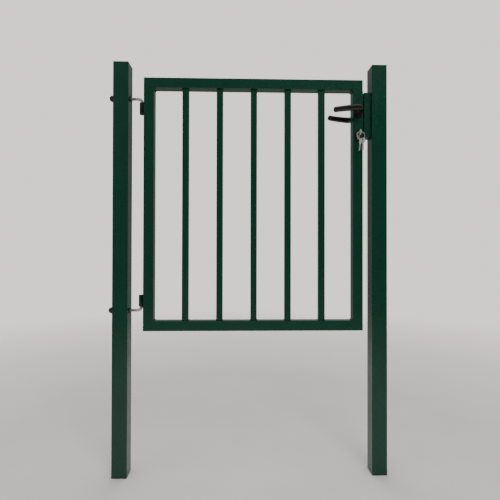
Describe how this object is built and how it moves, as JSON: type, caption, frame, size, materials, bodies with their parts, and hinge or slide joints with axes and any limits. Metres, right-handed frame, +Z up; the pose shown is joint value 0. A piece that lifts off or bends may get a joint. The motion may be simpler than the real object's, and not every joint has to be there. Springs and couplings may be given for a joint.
{
  "type": "garden gate",
  "caption": "Single-leaf steel garden gate: barred tube leaf hung on adjustable pin hinges between two square posts, with a mortice lock, lever handles and a keep.",
  "frame": {"origin": "centre of the hinge post's foot, on the underside of its foot cap", "axes": "+X from the hinge post to the lock post, +Z up along the posts, and -Y towards the side that the leaf opens to, where the front lever and the keys are"},
  "size_m": [1.1021, 0.1676, 1.625],
  "materials": {
    "posts": "moss-green gloss powder coat over galvanised steel tube",
    "leaf_frame": "moss-green gloss powder coat, welds dressed under the coat",
    "bars": "moss-green gloss powder coat",
    "hinge_sleeves": "moss-green gloss powder coat",
    "keep": "moss-green gloss powder coat on folded sheet",
    "post_caps": "satin black polyethylene, moulded",
    "nut_caps": "satin black polyethylene, moulded",
    "levers": "satin black nylon with fine moulding texture",
    "handle_plates": "satin black nylon",
    "cylinder_roses": "satin black nylon",
    "hinge_bolts": "bright zinc plating, cut thread",
    "hinge_nuts": "dull zinc plating",
    "screws": "bright zinc plating",
    "dark_screws": "black-oxide finish",
    "lock_faceplate": "brushed stainless steel",
    "lock_case": "zinc-plated pressed sheet",
    "lock_works": "zinc-plated sintered steel",
    "latch_spring": "drawn spring wire",
    "spindle": "zinc-plated square bar",
    "lock_cylinder": "satin nickel plating on brass",
    "cylinder_plug": "machined brass",
    "keys": "nickel plating with fine handling scratches",
    "key_ring": "bright nickel-plated wire"
  },
  "bodies": {
    "posts": {"hinge_post": "posts", "lock_post": "posts", "hinge_post_cap": "post_caps", "lock_post_cap": "post_caps", "hinge_post_foot": "post_caps", "lock_post_foot": "post_caps", "upper_hinge_bolt": "hinge_bolts", "lower_hinge_bolt": "hinge_bolts", "upper_inner_nut": "hinge_nuts", "upper_outer_washer": "hinge_nuts", "upper_outer_nut": "hinge_nuts", "lower_inner_nut": "hinge_nuts", "lower_outer_washer": "hinge_nuts", "lower_outer_nut": "hinge_nuts", "upper_nut_cap": "nut_caps", "lower_nut_cap": "nut_caps", "keep": "keep", "keep_screw_top": "screws", "keep_screw_bottom": "screws"},
    "leaf": {"hinge_stile": "leaf_frame", "lock_stile": "leaf_frame", "top_rail": "leaf_frame", "bottom_rail": "leaf_frame", "bar_1": "bars", "bar_2": "bars", "bar_3": "bars", "bar_4": "bars", "bar_5": "bars", "upper_hinge_sleeve": "hinge_sleeves", "lower_hinge_sleeve": "hinge_sleeves", "lock_case": "lock_case", "lock_case_cover": "lock_case", "lock_faceplate": "lock_faceplate", "faceplate_screw_top": "screws", "faceplate_screw_bottom": "screws", "cylinder_screw": "screws", "front_handle_plate": "handle_plates", "rear_handle_plate": "handle_plates", "front_plate_screw_top": "dark_screws", "front_plate_screw_bottom": "dark_screws", "rear_plate_screw_top": "dark_screws", "rear_plate_screw_bottom": "dark_screws", "front_cylinder_rose": "cylinder_roses", "rear_cylinder_rose": "cylinder_roses", "cylinder_body": "lock_cylinder"},
    "handle": {"front_lever": "levers", "rear_lever": "levers", "front_lever_screw": "dark_screws", "rear_lever_screw": "dark_screws", "spindle": "spindle", "follower": "lock_works"},
    "latch": {"latch_bolt": "lock_works", "latch_spring": "latch_spring"},
    "dead_bolt": {"dead_bolt": "lock_works"},
    "plug": {"cylinder_plug": "cylinder_plug", "cylinder_cam": "lock_works", "key": "keys"},
    "key_ring": {"key_ring": "key_ring"},
    "spare_key_left": {"spare_key_left": "keys"},
    "spare_key_right": {"spare_key_right": "keys"}
  },
  "joints": [
    {"name": "leaf_swing", "type": "hinge", "parent": "posts", "child": "leaf", "pos_m": [0.0767, 0, 0.568], "axis": [0, 0, -1], "range_deg": [0, 95]},
    {"name": "handle_turn", "type": "hinge", "parent": "leaf", "child": "handle", "pos_m": [0.937, 0, 1.438], "axis": [0, -1, 0], "range_deg": [0, 40], "stiffness_Nm_per_rad": 1.5, "springref_deg": -28.65},
    {"name": "latch_slide", "type": "slide", "parent": "leaf", "child": "latch", "axis": [1, 0, 0], "range_m": [-0.0096, 0], "deforming": ["latch_spring"]},
    {"name": "dead_bolt_slide", "type": "slide", "parent": "leaf", "child": "dead_bolt", "axis": [1, 0, 0], "range_m": [0, 0.0201]},
    {"name": "key_turn", "type": "hinge", "parent": "leaf", "child": "plug", "pos_m": [0.937, 0, 1.35], "axis": [0, 1, 0], "range_deg": [0, 360]},
    {"name": "ring_swing", "type": "hinge", "parent": "plug", "child": "key_ring", "pos_m": [0.937, -0.056, 1.35], "axis": [1, 0, 0], "range_deg": [-60, 15]},
    {"name": "spare_key_left_swing", "type": "hinge", "parent": "key_ring", "child": "spare_key_left", "pos_m": [0.937, -0.056, 1.32], "axis": [1, 0, 0], "range_deg": [-20, 10]},
    {"name": "spare_key_right_swing", "type": "hinge", "parent": "key_ring", "child": "spare_key_right", "pos_m": [0.9445, -0.056, 1.32201], "axis": [1, 0, 0], "range_deg": [-15, 10]}
  ],
  "couplings": [
    {"joint": "latch_slide", "follows": "handle_turn", "m_per_rad": -0.01361},
    {"joint": "dead_bolt_slide", "follows": "key_turn", "m_per_rad": 0.003183}
  ]
}
